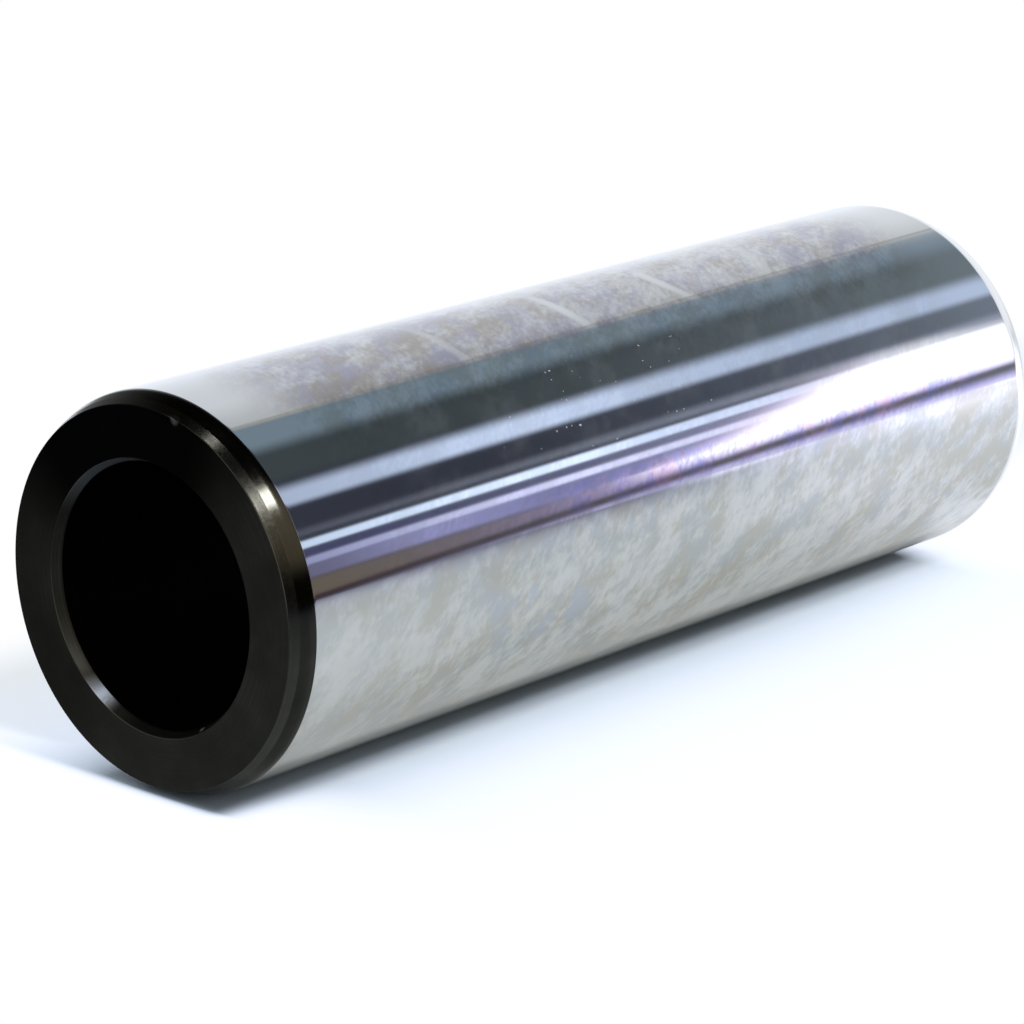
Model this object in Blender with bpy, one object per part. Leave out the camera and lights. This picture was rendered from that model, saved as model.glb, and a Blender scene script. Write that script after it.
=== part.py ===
"""Gudgeon pin: one thick-walled steel tube, turned, hardened and ground on the outside.

The half section is drawn in the X-Z plane and turned once round the Z axis. Both ends
are alike. Going out from the bore, each end has a small chamfer at the bore's mouth, a
flat end face, a chamfer at the face's rim and a slower lead-in cone, which runs out on
the outside diameter in a blend. The pin stands on its lower end face, and the origin is
the centre of that face.
"""

import math

import bmesh
import bpy
from mathutils import Vector

OUTSIDE_DIAMETER = 0.02355
LENGTH = 0.06985
WALL = 0.00394

# Widths are measured across the radius and lengths along the axis.
BORE_CHAMFER_WIDTH = 0.00029
BORE_CHAMFER_LENGTH = 0.00064
RIM_CHAMFER_WIDTH = 0.00028
RIM_CHAMFER_LENGTH = 0.00058
LEAD_IN_WIDTH = 0.00031
LEAD_IN_LENGTH = 0.00081

# Radii of the blends along the turned edges.
BORE_BLEND_RADIUS = 0.0003
FACE_BLEND_RADIUS = 0.00008
LEAD_IN_BLEND_RADIUS = 0.0016

# An arc of the section has one straight piece for each stretch of this angle.
ARC_STEP = math.radians(12)
TURN_STEPS = 96
# A blend takes at most this share of the shorter line that it joins.
MOST_BLEND_SHARE = 0.4

# Faces that are this close to the outside diameter belong to the ground surface.
GROUND_TOLERANCE = 0.00002

GROUND_STEEL_COLOUR = (0.62, 0.63, 0.64, 1.0)
GROUND_STEEL_ROUGHNESS = 0.08
END_STEEL_COLOUR = (0.09, 0.088, 0.08, 1.0)
END_STEEL_ROUGHNESS = 0.42


def clear_scene():
    for old in list(bpy.data.objects):
        bpy.data.objects.remove(old, do_unlink=True)


def steel(name, colour, roughness):
    material = bpy.data.materials.new(name)
    material.use_nodes = True
    surface = material.node_tree.nodes["Principled BSDF"]
    surface.inputs["Base Color"].default_value = colour
    surface.inputs["Metallic"].default_value = 1.0
    surface.inputs["Roughness"].default_value = roughness
    material.diffuse_color = colour
    return material


def end_corners():
    """Corners of the section at the upper end, as (radius, height, blend radius), bore first."""
    outer = OUTSIDE_DIAMETER / 2
    bore = outer - WALL
    rim = outer - LEAD_IN_WIDTH
    return [
        (bore, LENGTH - BORE_CHAMFER_LENGTH, BORE_BLEND_RADIUS),
        (bore + BORE_CHAMFER_WIDTH, LENGTH, FACE_BLEND_RADIUS),
        (rim - RIM_CHAMFER_WIDTH, LENGTH, FACE_BLEND_RADIUS),
        (rim, LENGTH - RIM_CHAMFER_LENGTH, 0.0),
        (outer, LENGTH - RIM_CHAMFER_LENGTH - LEAD_IN_LENGTH, LEAD_IN_BLEND_RADIUS),
    ]


def half_section():
    """Corners of the closed half section: the upper end, then its mirror image at the lower end."""
    upper = end_corners()
    lower = [(radius, LENGTH - height, blend) for radius, height, blend in reversed(upper)]
    return upper + lower


def blended(before, corner, after, radius):
    """Points that replace a corner by an arc, which touches both of the lines that meet there.

    The arc touches each line at radius * tan(half the turn) from the corner, and its
    centre lies on the line that halves the angle.
    """
    to_before = (before - corner).normalized()
    to_after = (after - corner).normalized()
    turn = math.pi - to_before.angle(to_after)
    if radius <= 0.0 or turn < ARC_STEP / 2:
        return [corner]
    shorter = min((before - corner).length, (after - corner).length)
    reach = min(radius * math.tan(turn / 2), MOST_BLEND_SHARE * shorter)
    radius = reach / math.tan(turn / 2)
    centre = corner + (to_before + to_after).normalized() * radius / math.cos(turn / 2)
    start = corner + to_before * reach - centre
    end = corner + to_after * reach - centre
    steps = max(1, round(turn / ARC_STEP))
    swept = [step / steps for step in range(steps + 1)]
    return [
        centre + (start * math.sin((1 - s) * turn) + end * math.sin(s * turn)) / math.sin(turn)
        for s in swept
    ]


def smooth_outline(corners):
    """The section's outline, with every corner that has a blend radius rounded."""
    points = [Vector((radius, height)) for radius, height, _ in corners]
    outline = []
    for i, (_, _, blend) in enumerate(corners):
        after = points[(i + 1) % len(points)]
        outline += blended(points[i - 1], points[i], after, blend)
    return outline


def turned(name, outline, steps):
    """A mesh made by turning a closed outline, given as (radius, height), once round the Z axis."""
    form = bmesh.new()
    corners = [form.verts.new((point.x, 0.0, point.y)) for point in outline]
    edges = [form.edges.new((corners[i - 1], corners[i])) for i in range(len(corners))]
    bmesh.ops.spin(
        form,
        geom=corners + edges,
        cent=(0.0, 0.0, 0.0),
        axis=(0.0, 0.0, 1.0),
        angle=2 * math.pi,
        steps=steps,
        use_merge=True,
    )
    bmesh.ops.recalc_face_normals(form, faces=form.faces)
    mesh = bpy.data.meshes.new(name)
    form.to_mesh(mesh)
    form.free()
    return mesh


def finish(mesh, ground, machined):
    """Gives the outside diameter the ground steel, and the ends and the bore the darker one."""
    mesh.materials.append(ground)
    mesh.materials.append(machined)
    outer = OUTSIDE_DIAMETER / 2
    for face in mesh.polygons:
        radii = [mesh.vertices[v].co.xy.length for v in face.vertices]
        face.material_index = 0 if min(radii) > outer - GROUND_TOLERANCE else 1
    mesh.shade_smooth()
    mesh.set_sharp_from_angle(angle=math.radians(25))


def main():
    clear_scene()
    mesh = turned("gudgeon_pin", smooth_outline(half_section()), TURN_STEPS)
    finish(
        mesh,
        steel("ground_steel", GROUND_STEEL_COLOUR, GROUND_STEEL_ROUGHNESS),
        steel("end_steel", END_STEEL_COLOUR, END_STEEL_ROUGHNESS),
    )
    pin = bpy.data.objects.new("gudgeon_pin", mesh)
    bpy.context.scene.collection.objects.link(pin)


main()
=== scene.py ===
"""Looks of the gudgeon pin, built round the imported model.

The frame holds the pin standing on its lower end. The photograph shows it lying on a pale
table, so the table is a stage plane that touches the pin along one line of its flank, and
the camera looks along that plane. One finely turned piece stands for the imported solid. It
has the same section, with its edges rounded more finely, a nick and a burr.

Angles round the pin are in degrees. Zero is the flank line that faces the camera, ninety is
on the upper side in the photograph, and the table touches the pin near minus 67. Materials
count distances in outside radii, and down is the distance from the upper end.
"""

import math

import bpy
import numpy as np
from mathutils import Matrix, Vector


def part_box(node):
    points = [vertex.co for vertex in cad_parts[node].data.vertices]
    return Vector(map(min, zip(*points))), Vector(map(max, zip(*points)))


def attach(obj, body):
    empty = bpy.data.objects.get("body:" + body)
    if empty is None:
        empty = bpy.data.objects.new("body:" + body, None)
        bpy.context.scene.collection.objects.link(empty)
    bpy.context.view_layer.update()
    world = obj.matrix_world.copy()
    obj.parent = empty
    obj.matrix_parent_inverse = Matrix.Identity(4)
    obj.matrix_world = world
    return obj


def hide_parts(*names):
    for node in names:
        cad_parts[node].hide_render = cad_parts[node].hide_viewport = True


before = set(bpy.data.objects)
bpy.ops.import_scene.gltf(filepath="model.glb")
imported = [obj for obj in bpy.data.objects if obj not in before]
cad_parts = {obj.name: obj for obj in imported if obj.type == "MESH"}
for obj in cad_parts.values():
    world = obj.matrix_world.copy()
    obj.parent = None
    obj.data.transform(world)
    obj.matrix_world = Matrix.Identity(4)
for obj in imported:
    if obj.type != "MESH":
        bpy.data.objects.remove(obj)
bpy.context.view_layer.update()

# The pin's own sizes, in metres. The outside radius and the length come from the frame.
LOW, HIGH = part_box("gudgeon_pin")
OUTER = (HIGH.x - LOW.x) / 2
LENGTH = HIGH.z
LENGTH_IN_RADII = LENGTH / OUTER
WALL = 0.00394
BORE = OUTER - WALL
BORE_CHAMFER_WIDTH, BORE_CHAMFER_LENGTH = 0.00029, 0.00064
RIM_CHAMFER_WIDTH, RIM_CHAMFER_LENGTH = 0.00028, 0.00058
LEAD_IN_WIDTH, LEAD_IN_LENGTH = 0.00031, 0.00081
BORE_BLEND, FACE_BLEND, RIM_BLEND, LEAD_IN_BLEND = 0.0003, 0.00008, 0.00006, 0.0016
MOST_BLEND_SHARE = 0.4

# How finely the piece is turned.
TURN_STEPS = 640
ARC_PIECES = 5
CONE_PIECES = 4
FACE_PIECES = 14
WALL_PIECES = 6
EDGE_SUPPORT = 0.00002

# The flank line that faces the camera, as a turn from the frame's +X, in degrees.
FACING_TURN = 203.1
TO_CAMERA = Vector((math.cos(math.radians(FACING_TURN)), math.sin(math.radians(FACING_TURN)), 0.0))
TO_TOP = Vector((-TO_CAMERA.y, TO_CAMERA.x, 0.0))

# The camera: its place from the upper end's centre in outside radii, its turn from the pin's
# axis, its height over the table as an angle, its lens and its sensor in millimetres, and the
# nearest thing that it sees, in metres.
CAMERA_PLACE = Vector((-13.474, -5.751, 12.490))
CAMERA_HEADING = math.radians(41.73)
CAMERA_ELEVATION = math.radians(16.21)
CAMERA_LENS, CAMERA_SENSOR = 140.9, 36.0
CAMERA_NEAREST = 0.01


def point_round(angle, radius, height):
    """The point at an angle round the pin, a radius from its axis and a height in the frame."""
    turn = math.radians(FACING_TURN + angle)
    return Vector((radius * math.cos(turn), radius * math.sin(turn), height))


# A nick on the upper face's outer edge and a burr at the bore's mouth.
FACE_RIM = OUTER - LEAD_IN_WIDTH - RIM_CHAMFER_WIDTH
NICK = point_round(54.0, FACE_RIM, LENGTH)
NICK_REACH, NICK_DEPTH = 0.00032, 0.00012
BURR = point_round(-84.0, BORE + BORE_CHAMFER_WIDTH / 2, LENGTH - BORE_CHAMFER_LENGTH / 2)
BURR_REACH, BURR_HEIGHT = 0.0002, 0.00010


# Form


def end_corners():
    """Corners of the section at the upper end as (radius, height, blend radius), bore first."""
    rim = OUTER - LEAD_IN_WIDTH
    return [
        (BORE, LENGTH - BORE_CHAMFER_LENGTH, BORE_BLEND),
        (BORE + BORE_CHAMFER_WIDTH, LENGTH, FACE_BLEND),
        (FACE_RIM, LENGTH, FACE_BLEND),
        (rim, LENGTH - RIM_CHAMFER_LENGTH, RIM_BLEND),
        (OUTER, LENGTH - RIM_CHAMFER_LENGTH - LEAD_IN_LENGTH, LEAD_IN_BLEND),
    ]


def rounded(before, corner, after, blend):
    """Points of the arc that rounds a corner, and one on each line just outside the arc.

    The arc touches each line at blend * tan(half the turn) from the corner. A point at the
    share s of the arc is the centre plus its two end spokes, weighed by sin((1 - s) turn)
    and sin(s turn) over sin(turn).
    """
    to_before = (before - corner) / np.linalg.norm(before - corner)
    to_after = (after - corner) / np.linalg.norm(after - corner)
    turn = math.pi - math.acos(to_before @ to_after)
    shorter = min(np.linalg.norm(before - corner), np.linalg.norm(after - corner))
    reach = min(blend * math.tan(turn / 2), MOST_BLEND_SHARE * shorter)
    centre = corner + (to_before + to_after) * reach / (1 + to_before @ to_after)
    start, end = corner + to_before * reach, corner + to_after * reach
    share = np.linspace(0.0, 1.0, ARC_PIECES + 1)[:, None]
    spokes = (start - centre) * np.sin((1 - share) * turn) + (end - centre) * np.sin(share * turn)
    arc = centre + spokes / math.sin(turn)
    return np.vstack([start + to_before * EDGE_SUPPORT, arc, end + to_after * EDGE_SUPPORT])


def line_between(start, end, pieces, crowded=False):
    """Inner points of a straight line, evenly spaced, or crowded towards both of its ends."""
    share = np.linspace(0.0, 1.0, pieces + 1)[1:-1]
    if crowded:
        share = (1 - np.cos(math.pi * share)) / 2
    return start + (end - start) * share[:, None]


def section():
    """The closed outline as (radius, height): up the bore, over the upper end, down the outside."""
    corners = end_corners()
    points = [np.array(corner[:2]) for corner in corners]
    before_first = np.array([BORE, LENGTH / 2])
    after_last = np.array([OUTER, LENGTH / 2])
    places = [before_first, *points, after_last]
    arcs = [
        rounded(before, point, after, blend)
        for before, point, after, (_, _, blend) in zip(places, places[1:], places[2:], corners)
    ]
    pieces = [CONE_PIECES, FACE_PIECES, CONE_PIECES, CONE_PIECES]
    upper = [line_between(before_first, arcs[0][0], WALL_PIECES), arcs[0]]
    for arc, next_arc, count in zip(arcs, arcs[1:], pieces):
        upper += [line_between(arc[-1], next_arc[0], count, crowded=True), next_arc]
    upper += [line_between(arcs[-1][-1], after_last, WALL_PIECES), after_last[None]]
    upper = np.vstack(upper)
    lower = upper[-2::-1] * [1, -1] + [0, LENGTH]
    return np.vstack([upper, lower, before_first[None]])


def turned(outline):
    """Grid of points, outline by turn: each outline point (r, h) goes to (r cos a, r sin a, h)."""
    angle = np.linspace(0.0, 2 * math.pi, TURN_STEPS, endpoint=False)
    radius = outline[:, 0, None]
    height = np.broadcast_to(outline[:, 1, None], (len(outline), TURN_STEPS))
    return np.stack([radius * np.cos(angle), radius * np.sin(angle), height], axis=-1)


def inwards(place):
    """The direction from a place to the pin's axis, square to it."""
    return Vector((-place.x, -place.y, 0.0)).normalized()


def pushed(points, place, reach, towards, distance):
    """Moves points near a place along a direction, by distance * exp(-(how far / reach)^2)."""
    far = np.linalg.norm(points - np.array(place), axis=-1)
    return points + np.array(towards) * (distance * np.exp(-((far / reach) ** 2)))[..., None]


def surface_of_band(outline):
    """The surface of each band between two outline points, as a place in pin_materials' list.

    It is the number of surface edges that lie inside the band's mean radius.
    """
    radius = (outline[:, 0] + np.roll(outline[:, 0], -1)) / 2
    hair = 0.000004
    edges = [BORE + hair, BORE + BORE_CHAMFER_WIDTH, FACE_RIM, OUTER - LEAD_IN_WIDTH, OUTER - hair]
    return np.searchsorted(edges, radius)


def turned_piece(name, materials):
    """The pin as one closed mesh. Quads join each grid point to the next ring and the next turn."""
    outline = section()
    dent = (inwards(NICK) - Vector((0.0, 0.0, 1.0))).normalized()
    points = pushed(turned(outline), NICK, NICK_REACH, dent, NICK_DEPTH)
    points = pushed(points, BURR, BURR_REACH, inwards(BURR), BURR_HEIGHT)

    rings = len(outline)
    index = np.arange(rings * TURN_STEPS).reshape(rings, TURN_STEPS)
    next_ring, next_turn = np.roll(index, -1, axis=0), np.roll(index, -1, axis=1)
    corner = np.roll(next_ring, -1, axis=1)
    quads = np.stack([index, next_ring, corner, next_turn], axis=-1).reshape(-1, 4)

    mesh = bpy.data.meshes.new(name)
    mesh.vertices.add(index.size)
    mesh.vertices.foreach_set("co", points.astype(np.float32).ravel())
    mesh.loops.add(quads.size)
    mesh.loops.foreach_set("vertex_index", quads.astype(np.int32).ravel())
    mesh.polygons.add(len(quads))
    mesh.polygons.foreach_set("loop_start", np.arange(0, quads.size, 4, dtype=np.int32))
    for material in materials:
        mesh.materials.append(material)
    bands = np.repeat(surface_of_band(outline), TURN_STEPS).astype(np.int32)
    mesh.polygons.foreach_set("material_index", bands)
    mesh.update(calc_edges=True)
    mesh.shade_smooth()
    piece = bpy.data.objects.new(name, mesh)
    bpy.context.scene.collection.objects.link(piece)
    return piece


# Shader nodes


def add(tree, kind, inputs=None, **settings):
    """Adds a node, sets its settings, and gives each input its value or its link."""
    node = tree.nodes.new(kind)
    for name, value in settings.items():
        setattr(node, name, value)
    for key, value in (inputs or {}).items():
        if isinstance(value, bpy.types.NodeSocket):
            tree.links.new(value, node.inputs[key])
        else:
            node.inputs[key].default_value = value
    return node


def maths(tree, operation, *values):
    """The result of one Math node."""
    return add(tree, "ShaderNodeMath", dict(enumerate(values)), operation=operation).outputs[0]


def product(tree, *values):
    """All values multiplied."""
    total = values[0]
    for value in values[1:]:
        total = maths(tree, "MULTIPLY", total, value)
    return total


def remainder(tree, share):
    """What a share leaves over: one minus the share."""
    return maths(tree, "SUBTRACT", 1.0, share)


def ramp(tree, value, start, end, low=0.0, high=1.0, smooth=True):
    """Goes from low to high while the value goes from start to end."""
    kind = "SMOOTHSTEP" if smooth else "LINEAR"
    inputs = {"Value": value, "From Min": start, "From Max": end, "To Min": low, "To Max": high}
    return add(tree, "ShaderNodeMapRange", inputs, interpolation_type=kind).outputs[0]


def between(tree, value, start, end, soft):
    """One between start and end, with edges that are soft on both sides of them."""
    rise = ramp(tree, value, start - soft, start + soft)
    fall = ramp(tree, value, end - soft, end + soft, 1.0, 0.0)
    return product(tree, rise, fall)


def grey(tree, value):
    """A grey colour of this value."""
    return add(tree, "ShaderNodeCombineColor", {0: value, 1: value, 2: value}).outputs[0]


def mixed(tree, share, first, second, blend="MIX"):
    """Goes from the first colour to the second by a share."""
    node = add(tree, "ShaderNodeMix", {"Factor": share}, data_type="RGBA", blend_type=blend)
    for socket, value in ((node.inputs[6], first), (node.inputs[7], second)):
        if isinstance(value, bpy.types.NodeSocket):
            tree.links.new(value, socket)
        else:
            socket.default_value = (*value, 1.0)
    return node.outputs[2]


def scaled(tree, colour, value):
    """A colour times a number."""
    return mixed(tree, 1.0, colour, grey(tree, value), "MULTIPLY")


def blended(tree, share, first, second):
    """Goes from the first number to the second by a share."""
    inputs = {"Factor": share, 2: first, 3: second}
    return add(tree, "ShaderNodeMix", inputs, data_type="FLOAT").outputs[0]


def layered(tree, share, first, second):
    """Goes from the first shader to the second by a share."""
    return add(tree, "ShaderNodeMixShader", {0: share, 1: first.outputs[0], 2: second.outputs[0]})


def noise(tree, vector, scale, detail, roughness=0.5):
    """Smooth noise round 0.5. Detail is how many finer layers it has, and roughness their weight."""
    inputs = {"Vector": vector, "Scale": scale, "Detail": detail, "Roughness": roughness}
    return add(tree, "ShaderNodeTexNoise", inputs).outputs["Fac"]


def group(name, inputs, outputs):
    """A new node group with named sockets. Returns its tree, its input node and its output node."""
    tree = bpy.data.node_groups.new(name, "ShaderNodeTree")
    for title, kind, value in inputs:
        socket = tree.interface.new_socket(title, in_out="INPUT", socket_type=kind)
        if value is not None:
            socket.default_value = value
    for title, kind in outputs:
        tree.interface.new_socket(title, in_out="OUTPUT", socket_type=kind)
    return tree, tree.nodes.new("NodeGroupInput"), tree.nodes.new("NodeGroupOutput")


def place(tree, node_group, inputs):
    """Puts a node group into a material's tree."""
    return add(tree, "ShaderNodeGroup", inputs, node_tree=node_group)


FLOAT, VECTOR = "NodeSocketFloat", "NodeSocketVector"


def round_the_pin():
    """Turns a vector into the angle round the pin in degrees, the radius and the height."""
    tree, given, result = group(
        "round the pin",
        [("Vector", VECTOR, None)],
        [("Angle", FLOAT), ("Radius", FLOAT), ("Height", FLOAT)],
    )
    vector = given.outputs["Vector"]
    x, y, height = add(tree, "ShaderNodeSeparateXYZ", {0: vector}).outputs
    flat = add(tree, "ShaderNodeCombineXYZ", {"X": x, "Y": y}).outputs[0]
    facing = add(tree, "ShaderNodeVectorMath", {0: vector, 1: TO_CAMERA}, operation="DOT_PRODUCT")
    top = add(tree, "ShaderNodeVectorMath", {0: vector, 1: TO_TOP}, operation="DOT_PRODUCT")
    turn = maths(tree, "ARCTAN2", top.outputs["Value"], facing.outputs["Value"])
    radius = add(tree, "ShaderNodeVectorMath", {0: flat}, operation="LENGTH")
    tree.links.new(maths(tree, "DEGREES", turn), result.inputs["Angle"])
    tree.links.new(radius.outputs["Value"], result.inputs["Radius"])
    tree.links.new(height, result.inputs["Height"])
    return tree


def wound_grain():
    """Mottles drawn out along a helix: the pattern's space is twisted round the axis with height."""
    tree, given, result = group(
        "wound grain",
        [
            ("Vector", VECTOR, None),
            ("Scale", FLOAT, 5.0),
            ("Twist", FLOAT, 0.0),
            ("Stretch", FLOAT, 1.0),
            ("Detail", FLOAT, 4.0),
        ],
        [("Value", FLOAT)],
    )
    vector = given.outputs["Vector"]
    height = add(tree, "ShaderNodeSeparateXYZ", {0: vector}).outputs["Z"]
    angle = product(tree, height, given.outputs["Twist"])
    inputs = {"Vector": vector, "Angle": angle}
    twisted = add(tree, "ShaderNodeVectorRotate", inputs, rotation_type="Z_AXIS").outputs[0]
    squeeze = maths(tree, "DIVIDE", 1.0, given.outputs["Stretch"])
    factors = add(tree, "ShaderNodeCombineXYZ", {"X": 1.0, "Y": 1.0, "Z": squeeze}).outputs[0]
    drawn = add(tree, "ShaderNodeVectorMath", {0: twisted, 1: factors}, operation="MULTIPLY")
    value = noise(tree, drawn.outputs[0], given.outputs["Scale"], given.outputs["Detail"], 0.6)
    tree.links.new(value, result.inputs["Value"])
    return tree


def specks():
    """A few crumbs: cells whose random value is under the share, near their ragged centres only."""
    tree, given, result = group(
        "specks",
        [
            ("Vector", VECTOR, None),
            ("Scale", FLOAT, 30.0),
            ("Share", FLOAT, 0.1),
            ("Size", FLOAT, 0.1),
        ],
        [("Mask", FLOAT)],
    )
    vector, scale = given.outputs["Vector"], given.outputs["Scale"]
    cells = add(tree, "ShaderNodeTexVoronoi", {"Vector": vector, "Scale": scale}, feature="F1")
    pick = add(tree, "ShaderNodeSeparateColor", {0: cells.outputs["Color"]})
    chosen = maths(tree, "LESS_THAN", pick.outputs["Red"], given.outputs["Share"])
    ragged = noise(tree, vector, product(tree, scale, 5.0), 1.0)
    reach = product(tree, given.outputs["Size"], pick.outputs["Green"], ragged, 2.0)
    inside = maths(tree, "LESS_THAN", cells.outputs["Distance"], reach)
    paleness = maths(tree, "MULTIPLY_ADD", pick.outputs["Blue"], 0.6, 0.3)
    tree.links.new(product(tree, chosen, inside, paleness), result.inputs["Mask"])
    return tree


ROUND_THE_PIN = round_the_pin()
WOUND_GRAIN = wound_grain()
SPECKS = specks()


def new_material(name):
    """A material with an empty tree, its Principled surface, and its coordinates in outside radii."""
    material = bpy.data.materials.new(name)
    material.use_nodes = True
    tree = material.node_tree
    tree.nodes.clear()
    surface = add(tree, "ShaderNodeBsdfPrincipled")
    output = add(tree, "ShaderNodeOutputMaterial")
    tree.links.new(surface.outputs[0], output.inputs["Surface"])
    object_place = add(tree, "ShaderNodeTexCoord").outputs["Object"]
    inputs = {0: object_place, "Scale": 1 / OUTER}
    in_radii = add(tree, "ShaderNodeVectorMath", inputs, operation="SCALE").outputs[0]
    return material, tree, surface, in_radii


# Ground flank

CLEAN_STEEL = (0.66, 0.67, 0.68)
BROWN_FILM = (0.37, 0.34, 0.32)
LILAC_FILM = (0.37, 0.36, 0.44)
GREY_FILM = (0.44, 0.475, 0.51)
OLIVE_FILM = (0.465, 0.452, 0.40)
BLUE_FILM = (0.44, 0.50, 0.64)
PINK_FILM = (0.72, 0.56, 0.66)
INDIGO_FILM = (0.46, 0.48, 0.70)
DUST = (0.62, 0.65, 0.68)
# Sides of the flank, and a coloured seam low on its front: from, to and softness, in degrees.
UPPER_SIDE = (40.5, 110.0, 2.0)
CARD_SIDE = (29.0, 42.0, 3.0)
LOWER_SIDE = (-100.0, -13.0, 3.0)
SEAM = (-12.5, -4.0, 1.0)
# Grains that make the film uneven. The first bracket has scale, twist, stretch and detail, and
# the second how strong the grain is below and on the upper side.
FILM_GRAINS = {
    "clouds": ((2.4, 0.5, 1.2, 4.0), (1.8, 1.4)),
    "mottle": ((5.0, 0.45, 1.1, 2.0), (3.6, 1.7)),
    "fine": ((26.0, 0.6, 1.0, 3.0), (2.3, 1.5)),
    "drawn": ((13.0, 0.25, 5.0, 3.0), (1.0, 0.8)),
}
# Wiped strokes round the upper side: distance from the upper end in radii, lean in radii per
# degree, bow in radii at the stroke's ends, half width in radii, and strength.
WIPE_MARKS = (
    (1.81, 0.0, 0.0, 0.030, 0.45),
    (2.74, 0.0002, 0.015, 0.034, 1.0),
    (3.545, 0.0004, 0.05, 0.036, 0.95),
    (4.35, 0.0070, 0.0, 0.045, 0.6),
)
# The strokes' middle and the way from there to their ends, in degrees.
WIPE_MIDDLE, WIPE_REACH = 57.0, 13.0


def wipe_marks(tree, angle, down):
    """Narrow bright strokes round the upper flank, where the film was wiped away.

    A stroke's centre line lies at its distance from the upper end, plus lean * (angle from
    the middle), plus bow * (angle from the middle / reach)^2.
    """
    from_middle = maths(tree, "SUBTRACT", angle, WIPE_MIDDLE)
    bowed = maths(tree, "ABSOLUTE", maths(tree, "DIVIDE", from_middle, WIPE_REACH))
    bowed = maths(tree, "POWER", bowed, 2.0)
    total = 0.0
    for along, lean, bow, width, strength in WIPE_MARKS:
        centre = maths(tree, "MULTIPLY_ADD", from_middle, lean, along)
        centre = maths(tree, "MULTIPLY_ADD", bowed, bow, centre)
        off = maths(tree, "ABSOLUTE", maths(tree, "SUBTRACT", down, centre))
        stroke = ramp(tree, off, 0.3 * width, 1.6 * width, strength, 0.0)
        total = maths(tree, "MAXIMUM", total, stroke)
    return product(tree, total, ramp(tree, angle, 39.0, 43.0), ramp(tree, angle, 58.0, 76.0, 1.0, 0.0))


def ground_steel():
    """Ground and polished flank: steel with a thin stained film, wiped strokes, haze and dust."""
    material, tree, surface, place_in_radii = new_material("ground_steel")
    around = place(tree, ROUND_THE_PIN, {"Vector": place_in_radii})
    angle = around.outputs["Angle"]
    down = maths(tree, "SUBTRACT", LENGTH_IN_RADII, around.outputs["Height"])

    def grain(scale, twist, stretch, detail):
        """A wound grain on the flank."""
        inputs = {
            "Vector": place_in_radii,
            "Scale": scale,
            "Twist": twist,
            "Stretch": stretch,
            "Detail": detail,
        }
        return place(tree, WOUND_GRAIN, inputs).outputs["Value"]

    grains = {name: grain(*pattern) for name, (pattern, _) in FILM_GRAINS.items()}
    tints = grain(5.0, 0.5, 1.2, 3.0)
    haze = grain(4.0, 0.3, 1.0, 4.0)

    upper = between(tree, angle, *UPPER_SIDE)
    card = between(tree, angle, *CARD_SIDE)
    lower = between(tree, angle, *LOWER_SIDE)
    seam = product(tree, between(tree, angle, *SEAM), ramp(tree, down, 1.4, 2.2))

    # The film is thickest just above the middle of the upper side, and thins out over the top.
    # The lower side is filmed all along, and most of all just before it meets the table.
    under = maths(tree, "MULTIPLY_ADD", between(tree, angle, -61.0, -43.0, 6.0), 0.2, 0.75)
    cover = blended(tree, lower, 0.3, under)
    cover = blended(tree, card, cover, 0.75)
    cover = blended(tree, seam, cover, 1.0)
    cover = blended(tree, upper, cover, ramp(tree, angle, 63.0, 90.0, 1.0, 0.25))
    along = between(tree, down, 0.55, 5.35, 0.3)
    along = blended(tree, lower, along, ramp(tree, down, 0.2, 1.6, 0.6, 1.0))

    # Each grain swings round 0.5, so the film's mean stays at the starting value.
    uneven = blended(tree, upper, 0.6, ramp(tree, down, 1.9, 3.0, 0.78, 0.55))
    for name, (_, strengths) in FILM_GRAINS.items():
        swing = maths(tree, "SUBTRACT", grains[name], 0.5)
        uneven = maths(tree, "MULTIPLY_ADD", swing, blended(tree, upper, *strengths), uneven)
    uneven = ramp(tree, uneven, -0.2, 1.2)
    film = product(tree, uneven, cover, along, remainder(tree, wipe_marks(tree, angle, down)))

    speckle = ramp(tree, tints, 0.38, 0.62)
    tint = mixed(tree, speckle, GREY_FILM, OLIVE_FILM)
    blue_spot = product(
        tree,
        between(tree, angle, -46.0, -28.0, 6.0),
        between(tree, down, 1.4, 2.1, 0.3),
        ramp(tree, grains["mottle"], 0.50, 0.60),
    )
    tint = mixed(tree, blue_spot, tint, BLUE_FILM)
    tint = mixed(tree, upper, tint, mixed(tree, speckle, BROWN_FILM, LILAC_FILM))
    grainy = ramp(tree, maths(tree, "MULTIPLY_ADD", grains["fine"], 0.7, tints), 0.74, 0.96)
    tint = mixed(tree, seam, tint, mixed(tree, grainy, PINK_FILM, INDIGO_FILM))
    colour = mixed(tree, film, CLEAN_STEEL, tint)

    smudge = product(
        tree,
        ramp(tree, haze, 0.48, 0.72),
        between(tree, down, 0.9, 4.8, 0.5),
        remainder(tree, lower),
    )
    dusty_place = product(tree, between(tree, angle, 3.0, 33.0, 4.0), between(tree, down, 1.7, 3.2, 0.3))
    dust = place(tree, SPECKS, {"Vector": place_in_radii, "Scale": 30.0, "Share": 0.4, "Size": 0.2})
    dust = product(tree, dust.outputs["Mask"], ramp(tree, dusty_place, 0.3, 0.5))
    colour = mixed(tree, dust, colour, DUST)
    metal = maths(tree, "MULTIPLY_ADD", smudge, -0.045, 1.0)
    metal = product(tree, metal, remainder(tree, dust))
    roughness = ramp(tree, film, 0.0, 1.0, 0.055, 0.10, smooth=False)

    tree.links.new(colour, surface.inputs["Base Color"])
    tree.links.new(metal, surface.inputs["Metallic"])
    tree.links.new(roughness, surface.inputs["Roughness"])
    return material


# Dark ends

MICRON = 0.000001
# Pale steel for the nick, and for the painted light at the lower end.
NICK_AND_PAINTED_LIGHT_STEEL = (0.76, 0.77, 0.78)
# Colour and roughness of the painted glint at the bore's mouth.
PAINTED_GLINT_COLOUR = (0.93, 0.95, 1.0)
PAINTED_GLINT_ROUGHNESS = 0.2
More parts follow.
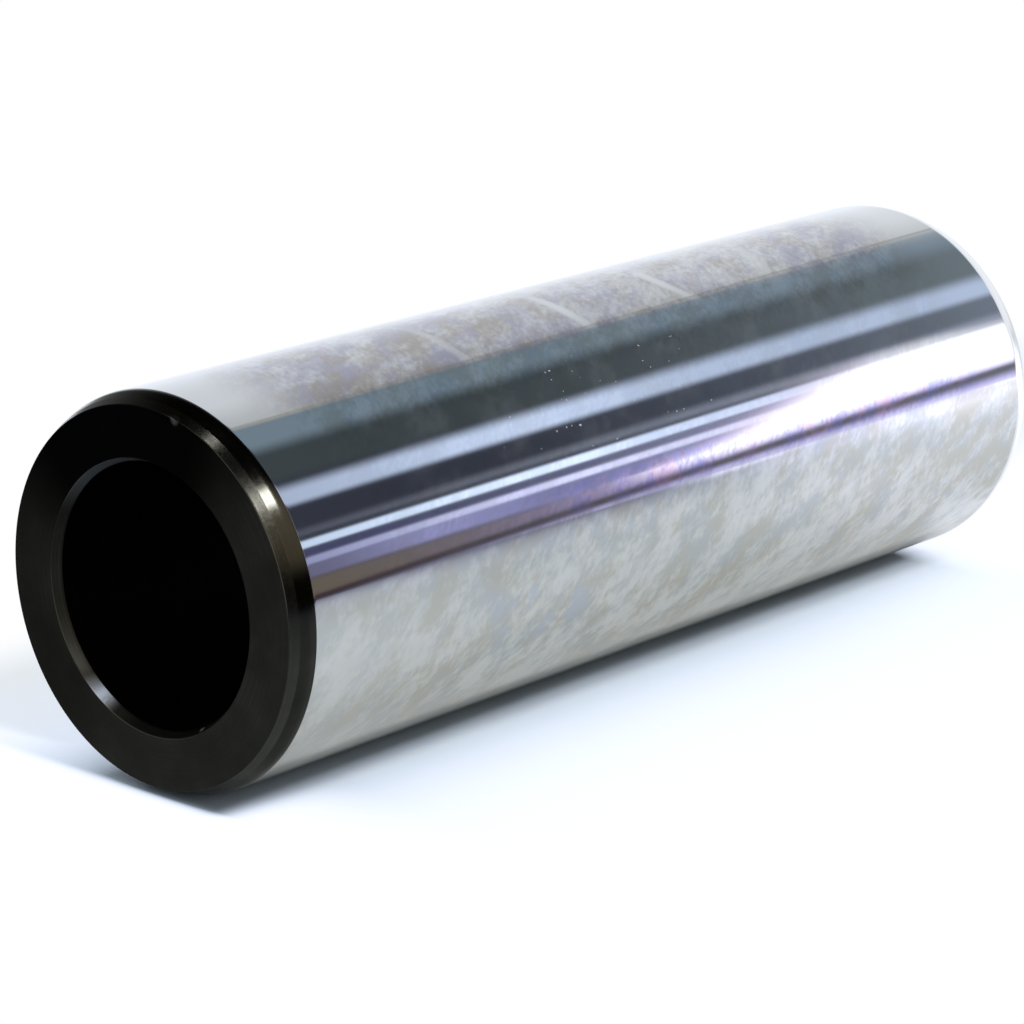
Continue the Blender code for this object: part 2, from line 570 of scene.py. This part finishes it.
# Where the bore's mouth has a painted glint, where its upper part has a weaker painted light,
# and where the face has painted shade: from, to and softness, in degrees.
PAINTED_GLINT_ON_MOUTH = (-151.0, -142.0, 6.5)
PAINTED_LIGHT_ON_MOUTH = (72.0, 120.0, 12.0)
PAINTED_SHADE_ON_FACE = (26.0, 134.0, 22.0)


def dark_grey(paleness):
    """The ends' dark grey, a little short of blue."""
    return (paleness, paleness, 0.88 * paleness)


def end_steel(name, paleness, worn, roughness, grooves, depth, face_shade=0.0, glint_share=0.0, painted_light_below=0.0):
    """Dark turned steel: fine rings round the axis, with painted shade, a painted glint and painted light,
    and pale at the nick.

    Worn is the paleness of the rings where they are worn, grooves how close the rings lie, and
    depth how deep they are, in microns. Face shade and glint share say how far the painted
    shade on the face and the painted glint and light at the bore's mouth change the finish at
    their angles, and painted light below how far the dark finish goes over to pale steel at the
    lower end, which is painted light there.
    """
    material, tree, surface, place_in_radii = new_material(name)
    around = place(tree, ROUND_THE_PIN, {"Vector": place_in_radii})
    angle, height = around.outputs["Angle"], around.outputs["Height"]
    radius_and_height = {"X": around.outputs["Radius"], "Y": height}
    ring_place = add(tree, "ShaderNodeCombineXYZ", radius_and_height).outputs[0]
    rings = noise(tree, ring_place, grooves, 4.0, 0.7)
    cloud = place(tree, WOUND_GRAIN, {"Vector": place_in_radii, "Scale": 2.2, "Detail": 3.0})
    cloud = cloud.outputs["Value"]
    grit = noise(tree, place_in_radii, 60.0, 2.0)

    def spot(centre, reach, share):
        """The share at a place on the pin, going over to zero round its reach, in metres."""
        inputs = {0: place_in_radii, 1: centre / OUTER}
        off = add(tree, "ShaderNodeVectorMath", inputs, operation="DISTANCE").outputs["Value"]
        return ramp(tree, off, 0.6 * reach / OUTER, 1.3 * reach / OUTER, share, 0.0)

    # Pale steel at the nick, and painted light at the lower end, where the chamfers go over to pale steel.
    nick_and_painted_light = product(tree, maths(tree, "LESS_THAN", height, 1.0), painted_light_below)
    nick_and_painted_light = maths(tree, "MAXIMUM", nick_and_painted_light, spot(NICK, NICK_REACH, 0.1))
    # Painted glint at the bore's mouth, weaker painted light on its upper part, and a painted glint on the
    # burr.
    bright = between(tree, angle, *PAINTED_GLINT_ON_MOUTH)
    bright = maths(tree, "MULTIPLY_ADD", between(tree, angle, *PAINTED_LIGHT_ON_MOUTH), 0.18, bright)
    bright = product(tree, bright, glint_share)
    bright = maths(tree, "MAXIMUM", bright, spot(BURR, BURR_REACH, 0.3))

    wear = product(tree, ramp(tree, rings, 0.45, 0.75), ramp(tree, cloud, 0.4, 0.7, 0.3, 1.0))
    base = mixed(tree, wear, dark_grey(paleness), dark_grey(worn))
    shade = ramp(tree, cloud, 0.3, 0.7, 0.8, 1.15)
    # Painted shade: the face is darker round its upper part.
    face_shade_mask = between(tree, angle, *PAINTED_SHADE_ON_FACE)
    shade = product(tree, shade, maths(tree, "MULTIPLY_ADD", face_shade_mask, -face_shade, 1.0))
    base = scaled(tree, base, shade)
    base = mixed(tree, nick_and_painted_light, base, NICK_AND_PAINTED_LIGHT_STEEL)
    base = mixed(tree, bright, base, PAINTED_GLINT_COLOUR)
    rough = maths(tree, "MULTIPLY_ADD", grit, 0.12, roughness - 0.06)
    rough = blended(tree, bright, rough, PAINTED_GLINT_ROUGHNESS)
    relief = maths(tree, "MULTIPLY_ADD", grit, 0.3, rings)
    bump = {"Height": relief, "Strength": 0.5, "Distance": depth * MICRON}
    tree.links.new(base, surface.inputs["Base Color"])
    tree.links.new(maths(tree, "MULTIPLY_ADD", bright, -0.95, 1.0), surface.inputs["Metallic"])
    tree.links.new(rough, surface.inputs["Roughness"])
    tree.links.new(add(tree, "ShaderNodeBump", bump).outputs[0], surface.inputs["Normal"])
    return material


def pin_materials():
    """The materials of the surfaces, in the order of surface_of_band: from the bore outwards."""
    return [
        # The bore is near black: painted shade deep in the bore, over the ends' dark finish.
        end_steel("bore_steel", 0.006, 0.012, 0.5, 30.0, 6),
        end_steel("bore_chamfer_steel", 0.07, 0.11, 0.40, 60.0, 1, glint_share=1.0),
        end_steel("end_face_steel", 0.063, 0.10, 0.42, 60.0, 2, face_shade=0.97),
        end_steel("rim_chamfer_steel", 0.09, 0.14, 0.20, 60.0, 1, painted_light_below=1.0),
        end_steel("lead_in_steel", 0.038, 0.07, 0.15, 60.0, 1, painted_light_below=1.0),
        ground_steel(),
    ]


# Studio

# The pin's flank mirrors the room in bands that run along it. Each band is given by the flank
# angles where the camera sees its lower and upper edge, near the upper end and at the lower
# end, by the softness of both edges in degrees, by its light near and far, and by how late
# its light goes over from the one to the other. A later band lies over an earlier one.
OPEN_ABOVE, OPEN_BELOW = (999.0, 999.0), (-99.0, -99.0)
BANDS = {
    "grey card": ((20.0, 20.0), (40.0, 45.0), (2.0, 2.0), (0.064, 0.08, 0.088), (0.22, 0.265, 0.30), 2.5),
    "lit card": ((30.6, 35.6), (40.0, 45.0), (2.5, 2.0), (0.225, 0.30, 0.36), (0.28, 0.355, 0.43), 1.0),
    "ceiling": ((39.6, 44.6), OPEN_ABOVE, (1.1, 1.0), (0.60, 0.63, 0.65), (0.66, 0.69, 0.72), 1.0),
    "white ceiling": ((46.0, 47.0), OPEN_ABOVE, (6.5, 1.0), (0.82, 0.86, 0.90), (0.92, 0.96, 1.0), 2.0),
    "bright ceiling": ((68.0, 68.0), OPEN_ABOVE, (12.0, 1.0), (1.0, 1.05, 1.14), (1.05, 1.1, 1.18), 1.0),
    "ceiling edge": ((39.9, 45.2), (40.5, 45.8), (0.4, 0.4), (0.42, 0.395, 0.32), (0.42, 0.40, 0.35), 1.0),
    "upper strip": ((12.7, 14.8), (17.8, 21.3), (1.0, 1.8), (0.70, 0.82, 1.08), (0.66, 0.78, 1.03), 1.0),
    "low shelf": ((3.9, 5.2), (5.6, 7.8), (0.6, 1.0), (0.11, 0.12, 0.16), (0.42, 0.46, 0.58), 1.2),
    "bright strip": ((0.5, 1.5), (2.55, 4.45), (0.4, 0.4), (1.0, 1.2, 1.5), (1.0, 1.1, 1.5), 1.0),
    "blue gap": ((-1.9, -0.5), (0.5, 1.5), (0.4, 0.4), (0.075, 0.08, 0.165), (0.60, 0.62, 0.95), 2.0),
    "lavender strip": ((-4.0, -2.5), (-1.9, -0.5), (0.5, 0.4), (0.46, 0.49, 0.80), (1.5, 1.5, 2.0), 1.0),
    "purple wall": ((-7.5, -7.5), (-4.0, -2.5), (0.8, 0.4), (0.18, 0.175, 0.28), (0.38, 0.40, 0.85), 1.0),
    "brown wall": ((-14.0, -12.0), (-7.5, -7.5), (0.4, 0.9), (0.175, 0.147, 0.112), (0.95, 0.86, 1.8), 1.8),
    "skirting": (OPEN_BELOW, (-12.2, -8.3), (1.0, 0.6), (0.05, 0.028, 0.034), (0.20, 0.20, 0.24), 1.0),
}
STRIPS = ("upper strip", "bright strip", "lavender strip")
# The rest of what the flank mirrors, near the upper end and at the lower end, or at the edge
# and inside.
DARK_ROOM, DARK_ROOM_FAR = (0.046, 0.052, 0.075), (0.24, 0.28, 0.35)
FLOOR_LIGHT, FLOOR_LIGHT_FAR = (0.05, 0.05, 0.08), (1.25, 1.2, 1.9)
WINDOW_EDGE, WINDOW_LIGHT = (1.3, 1.0, 1.5), (2.6, 2.6, 2.7)
LIGHT_PAST_THE_PIN = (1.02, 1.05, 1.1)
# What the upper end mirrors.
DARK_FRONT, WALL_BEHIND_PIN = (0.02, 0.018, 0.016), (0.24, 0.25, 0.25)
LOW_WINDOW, WALL_BEHIND_CAMERA = (1.35, 1.15, 0.86), (0.85, 0.87, 0.80)
# How far a mirrored ray runs along the pin's axis where the camera sees the two ends.
NEAR_RUN, FAR_RUN = 0.675, 0.803
# The camera stands this many degrees off from where each side of the flank would mirror it.
CAMERA_PARALLAX = 2.05
SOFT_LIGHT, SOFT_LIGHT_COLOUR = 0.70, (0.88, 0.96, 1.08)
WHITE = (1.0, 1.0, 1.0)


def front_of_the_room(tree, turn, run):
    """What the upper end mirrors: a dark room with a low window, paler behind pin and camera."""
    aside = maths(tree, "ABSOLUTE", turn)
    dark = mixed(tree, ramp(tree, aside, 100.0, 165.0), DARK_FRONT, WALL_BEHIND_PIN)
    low_window = between(tree, turn, -6.0, 34.0, 7.0)
    low_window = product(tree, low_window, ramp(tree, run, -0.14, -0.02, 0.12, 1.0))
    warm = mixed(tree, low_window, dark, LOW_WINDOW)
    return mixed(tree, ramp(tree, run, -0.40, -0.55), warm, WALL_BEHIND_CAMERA)


def with_floor(tree, colour, flank, far):
    """Adds the floor past the table's front edge: just over the table, and softer further off."""
    edge = ramp(tree, far, 0.0, 0.7, -13.4, -12.1)
    width = maths(tree, "MULTIPLY_ADD", maths(tree, "POWER", far, 3.0), 1.75, 0.5)
    over_edge = maths(tree, "DIVIDE", maths(tree, "SUBTRACT", flank, edge), width)
    light = mixed(tree, maths(tree, "POWER", far, 1.1), FLOOR_LIGHT, FLOOR_LIGHT_FAR)
    return mixed(tree, ramp(tree, over_edge, -1.0, 1.0, 1.0, 0.0), colour, light)


def with_window(tree, colour, flank, far):
    """Adds the window's light, which starts low on the flank and widens towards the far end.

    The light starts where far is over 0.45 + 0.0765 * the root of (flank angle + 7).
    """
    root = maths(tree, "SQRT", maths(tree, "MAXIMUM", maths(tree, "ADD", flank, 7.0), 0.0))
    past = maths(tree, "SUBTRACT", far, maths(tree, "MULTIPLY_ADD", root, 0.0765, 0.45))
    bottom = maths(tree, "ADD", flank, ramp(tree, far, 0.55, 0.9, 0.6, -0.7))
    bottom = ramp(tree, bottom, -10.4, -5.9)
    top = maths(tree, "ADD", flank, ramp(tree, far, 0.88, 0.97, 0.0, 1.5))
    top = ramp(tree, top, 1.0, 7.8, 1.0, 0.0, smooth=False)
    light = mixed(tree, ramp(tree, past, 0.03, 0.16), WINDOW_EDGE, WINDOW_LIGHT)
    return mixed(tree, product(tree, ramp(tree, past, 0.0, 0.1), bottom, top), colour, light)


def studio_bands(tree, direction):
    """The room as the polished flank shows it: cards and light strips in long bands.

    The flank angle that mirrors a direction is half its turn round the pin, less the camera's
    parallax times the sine of that half. How far along the pin it is seen follows from how
    far the direction runs along the axis: far is zero at the upper end and one at the lower.
    """
    around = place(tree, ROUND_THE_PIN, {"Vector": direction})
    turn = around.outputs["Angle"]
    half = maths(tree, "DIVIDE", turn, 2.0)
    tilt = maths(tree, "SINE", maths(tree, "RADIANS", half))
    flank = maths(tree, "MULTIPLY_ADD", tilt, -CAMERA_PARALLAX, half)
    run = product(tree, around.outputs["Height"], -1.0)
    far = ramp(tree, run, NEAR_RUN, FAR_RUN, smooth=False)
    blur = maths(tree, "MULTIPLY_ADD", far, 0.5, 1.0)

    # The strips are brightest two fifths of the way along, and the wall under them before that.
    rise = ramp(tree, far, 0.0, 0.4, 0.8, 1.28)
    strip_gain = maths(tree, "SUBTRACT", rise, ramp(tree, far, 0.42, 0.6, 0.0, 0.3))
    swell = product(tree, ramp(tree, far, 0.06, 0.2), ramp(tree, far, 0.26, 0.4, 1.0, 0.0))
    wall_gain = maths(tree, "MULTIPLY_ADD", swell, 0.85, 1.0)
    gains = {"purple wall": wall_gain, **dict.fromkeys(STRIPS, strip_gain)}

    def over(edge):
        """How far the flank angle is over a band's edge, counted in the blur there."""
        return maths(tree, "DIVIDE", maths(tree, "SUBTRACT", flank, blended(tree, far, *edge)), blur)

    colour = mixed(tree, maths(tree, "POWER", far, 3.0), DARK_ROOM, DARK_ROOM_FAR)
    for name, (lower, upper, soft, near_light, far_light, late) in BANDS.items():
        above = ramp(tree, over(lower), -soft[0], soft[0])
        below = ramp(tree, over(upper), -soft[1], soft[1], 1.0, 0.0)
        light = mixed(tree, maths(tree, "POWER", far, late), near_light, far_light)
        if name in gains:
            light = scaled(tree, light, gains[name])
        colour = mixed(tree, product(tree, above, below), colour, light)
    colour = with_floor(tree, colour, flank, far)
    colour = with_window(tree, colour, flank, far)

    front = ramp(tree, run, 0.60, 0.50)
    colour = mixed(tree, front, colour, front_of_the_room(tree, turn, run))
    return mixed(tree, ramp(tree, run, 0.83, 0.90), colour, LIGHT_PAST_THE_PIN)


def studio():
    """White behind the object, plain soft light on it, and the studio's bands in its polish."""
    world = bpy.data.worlds.new("studio")
    bpy.context.scene.world = world
    world.use_nodes = True
    tree = world.node_tree
    tree.nodes.clear()
    direction = add(tree, "ShaderNodeTexCoord").outputs["Generated"]
    path = add(tree, "ShaderNodeLightPath")
    soft = add(tree, "ShaderNodeBackground", {"Color": (*SOFT_LIGHT_COLOUR, 1.0), "Strength": SOFT_LIGHT})
    bands = add(tree, "ShaderNodeBackground", {"Color": studio_bands(tree, direction), "Strength": 1.0})
    blank = add(tree, "ShaderNodeBackground", {"Color": (*WHITE, 1.0), "Strength": 1.0})
    light = layered(tree, path.outputs["Is Glossy Ray"], soft, bands)
    light = layered(tree, path.outputs["Is Camera Ray"], light, blank)
    output = add(tree, "ShaderNodeOutputWorld")
    tree.links.new(light.outputs[0], output.inputs["Surface"])
    world.cycles.sampling_method = "NONE"


# The table's own colour, the colours that it has in the polish, near the pin and at its front,
# the light that lies on it, and what it fades to for the camera where some of it is left.
TABLE_COLOUR = (0.86, 0.95, 1.0)
MIRRORED_TABLE, MIRRORED_FRONT = (0.92, 0.92, 0.87), (0.88, 0.89, 1.0)
POOL_LIGHT = (0.93, 0.92, 1.10)
BLUE_WHITE = (0.99, 1.10, 1.35)
# In outside radii: how far the table reaches towards the camera's side, and to its other sides.
TABLE_FRONT, TABLE_BACK = 14.0, 60.0


def table_shade(tree, across, down, path):
    """How much light the table takes: little in the crevice under the pin, and less at its front."""
    nearer = product(tree, ramp(tree, down, 3.0, 0.3, 0.0, 0.07), path.outputs["Is Camera Ray"])
    aside = maths(tree, "SUBTRACT", maths(tree, "ABSOLUTE", across), nearer)
    crevice = product(
        tree,
        ramp(tree, aside, 0.30, 0.46, 1.0, 0.0),
        between(tree, down, 0.03, 5.85, 0.05),
        ramp(tree, across, -0.2, -0.05, 0.3, 1.0),
    )
    in_the_polish = ramp(tree, down, 0.3, 1.3, -0.33, -0.46)
    depth = blended(tree, path.outputs["Is Glossy Ray"], -0.55, in_the_polish)
    shade = maths(tree, "MULTIPLY_ADD", crevice, depth, 1.0)
    return product(tree, shade, ramp(tree, across, 2.0, 15.0, 1.0, 0.12, smooth=False))


def table_light(tree, across, down, dimmed):
    """Light that lies on the table, as the sum of pools of which each fades out at its edges."""
    slant = maths(tree, "MULTIPLY_ADD", across, -1.05, down)
    far_pool = product(
        tree,
        ramp(tree, slant, 2.6, 5.5, 0.0, 1.15, smooth=False),
        ramp(tree, across, 1.5, 6.1, smooth=False),
    )
    fringe = product(tree, ramp(tree, slant, 2.1, 3.5), ramp(tree, across, 7.0, 12.0, 0.0, 0.95))
    beside = product(
        tree,
        ramp(tree, across, 0.3, 1.0),
        ramp(tree, across, 1.5, 3.0, 1.0, 0.45),
        ramp(tree, down, 3.8, 6.2, 0.0, 0.22),
    )
    behind = product(tree, ramp(tree, across, -2.0, -14.0, 0.0, 0.35), dimmed)
    past = product(tree, ramp(tree, down, 5.6, 6.1, 0.0, 0.2), ramp(tree, across, 0.6, 1.0, 1.0, 0.0))
    past = maths(tree, "ADD", past, ramp(tree, slant, 7.0, 8.2, 0.0, 0.5))
    past = product(tree, past, ramp(tree, across, -0.5, 0.2))
    total = maths(tree, "MAXIMUM", far_pool, fringe)
    for pool in (beside, behind, past):
        total = maths(tree, "ADD", total, pool)
    return total


def table_left(tree, across, down):
    """How much of the table the camera sees, from one at the pin to zero further off.

    It falls with the root of across^2 + (how far off the ends)^2, and quickly off the ends.
    """
    off_near = product(
        tree,
        ramp(tree, down, 0.8, 0.0, 0.0, 2.2, smooth=False),
        ramp(tree, across, 0.35, 0.7),
    )
    off_near = maths(tree, "ADD", off_near, ramp(tree, down, 0.05, -0.19, 0.0, 3.6, smooth=False))
    off_far = ramp(tree, down, 5.6, 6.4, 0.0, 3.0, smooth=False)
    off_ends = maths(tree, "ADD", off_near, off_far)
    squares = maths(tree, "MULTIPLY_ADD", off_ends, off_ends, product(tree, across, across))
    return ramp(tree, maths(tree, "SQRT", squares), 0.36, 1.86, 1.0, 0.0, smooth=False)


def table_material():
    """Pale table. It keeps the pin's shadow, and goes over to blank white further off.

    Across is the distance from the line where the pin lies, towards the camera's side, and
    down the distance from the upper end, both in outside radii.
    """
    material = bpy.data.materials.new("pale_table")
    material.use_nodes = True
    tree = material.node_tree
    tree.nodes.clear()
    path = add(tree, "ShaderNodeLightPath")
    glossy = path.outputs["Is Glossy Ray"]
    object_place = add(tree, "ShaderNodeTexCoord").outputs["Object"]
    x, _, z = add(tree, "ShaderNodeSeparateXYZ", {0: object_place}).outputs
    across = maths(tree, "DIVIDE", x, -OUTER)
    down = maths(tree, "DIVIDE", maths(tree, "SUBTRACT", LENGTH, z), OUTER)

    # In the polish the table has painted shade: it goes dark in front of the upper end, and most of all
    # behind the pin.
    least = ramp(tree, across, -1.5, -0.5, 0.08, 0.3)
    dimmed = blended(tree, glossy, 1.0, ramp(tree, down, -0.35, 0.75, least, 1.0))
    shade = product(tree, table_shade(tree, across, down, path), dimmed)
    pale = mixed(tree, ramp(tree, across, 3.0, 12.0), MIRRORED_TABLE, MIRRORED_FRONT)
    pale = mixed(tree, glossy, TABLE_COLOUR, pale)
    lit = add(tree, "ShaderNodeBsdfDiffuse", {"Color": scaled(tree, pale, shade)})
    pools = {"Color": (*POOL_LIGHT, 1.0), "Strength": table_light(tree, across, down, dimmed)}
    glow = add(tree, "ShaderNodeEmission", pools)
    lit = add(tree, "ShaderNodeAddShader", {0: lit.outputs[0], 1: glow.outputs[0]})

    # For the camera it fades to white, and less so in the pin's shadow behind it.
    left = table_left(tree, across, down)
    fade = remainder(tree, maths(tree, "POWER", left, 2.3))
    behind = product(
        tree,
        ramp(tree, across, -0.9, -0.3, 1.0, 0.0),
        ramp(tree, across, -2.5, -1.9),
        ramp(tree, down, 0.06, 0.26),
    )
    fade = maths(tree, "MINIMUM", fade, maths(tree, "MULTIPLY_ADD", behind, -0.42, 1.0))
    fade = product(tree, fade, path.outputs["Is Camera Ray"])
    white = {"Color": mixed(tree, left, WHITE, BLUE_WHITE), "Strength": 1.0}
    front = layered(tree, fade, lit, add(tree, "ShaderNodeEmission", white))

    underside = add(tree, "ShaderNodeNewGeometry").outputs["Backfacing"]
    both = layered(tree, underside, front, add(tree, "ShaderNodeBsdfTransparent"))
    output = add(tree, "ShaderNodeOutputMaterial")
    tree.links.new(both.outputs[0], output.inputs["Surface"])
    return material


def table():
    """A plane that the pin's flank touches, facing the frame's -Y."""
    front, back = TABLE_FRONT * OUTER, TABLE_BACK * OUTER
    corners = [(-front, OUTER, -back), (back, OUTER, -back), (back, OUTER, back), (-front, OUTER, back)]
    mesh = bpy.data.meshes.new("table")
    mesh.from_pydata(corners, [], [(0, 1, 2, 3)])
    mesh.materials.append(table_material())
    plane = bpy.data.objects.new("table", mesh)
    bpy.context.scene.collection.objects.link(plane)


def lamp(name, towards, distance, size, light, glossy=True):
    """A square lamp in a direction from the upper end, facing it. Its light is what a mirror shows."""
    data = bpy.data.lights.new(name, "AREA")
    data.shape = "SQUARE"
    data.size = size
    data.energy = light * math.pi * size**2
    lit = bpy.data.objects.new(name, data)
    centre = Vector((0.0, 0.0, LENGTH))
    towards = Vector(towards).normalized()
    turn = towards.to_track_quat("Z", "Y").to_matrix().to_4x4()
    lit.matrix_world = Matrix.Translation(centre + towards * distance) @ turn
    lit.visible_camera = False
    lit.visible_glossy = glossy
    bpy.context.scene.collection.objects.link(lit)


def lamps():
    """A small bright key lamp, a smaller one overhead, and a window that the polish leaves out."""
    lamp("key lamp", (-0.602, -0.798, -0.02), 0.5, 0.078, 34.0)
    lamp("overhead lamp", (0.04, -1.0, 0.02), 0.5, 0.036, 8.0)
    lamp("window", (-0.57, -0.3, -0.76), 0.8, 0.3, 2.0, glossy=False)


def camera():
    """The photograph's view: up is the table's normal, and the picture's centre is the lens axis."""
    sight = bpy.data.cameras.new("camera")
    sight.lens = CAMERA_LENS
    sight.sensor_width = CAMERA_SENSOR
    sight.clip_start = CAMERA_NEAREST
    back = Vector(
        (
            -math.sin(CAMERA_HEADING) * math.cos(CAMERA_ELEVATION),
            -math.sin(CAMERA_ELEVATION),
            math.cos(CAMERA_HEADING) * math.cos(CAMERA_ELEVATION),
        )
    )
    right = Vector((0.0, -1.0, 0.0)).cross(back).normalized()
    up = back.cross(right)
    turn = Matrix((right, up, back)).transposed().to_4x4()
    viewer = bpy.data.objects.new("camera", sight)
    viewer.matrix_world = Matrix.Translation(Vector((0.0, 0.0, LENGTH)) + CAMERA_PLACE * OUTER) @ turn
    bpy.context.scene.collection.objects.link(viewer)
    bpy.context.scene.camera = viewer


def main():
    """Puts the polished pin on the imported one's place, then the studio, the table and the lamps."""
    pin =turned_piece("polished_pin", pin_materials())
    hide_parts("gudgeon_pin")
    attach(pin, "root")
    studio()
    table()
    lamps()
    camera()
    bpy.context.scene.view_settings.view_transform = "Standard"


main()
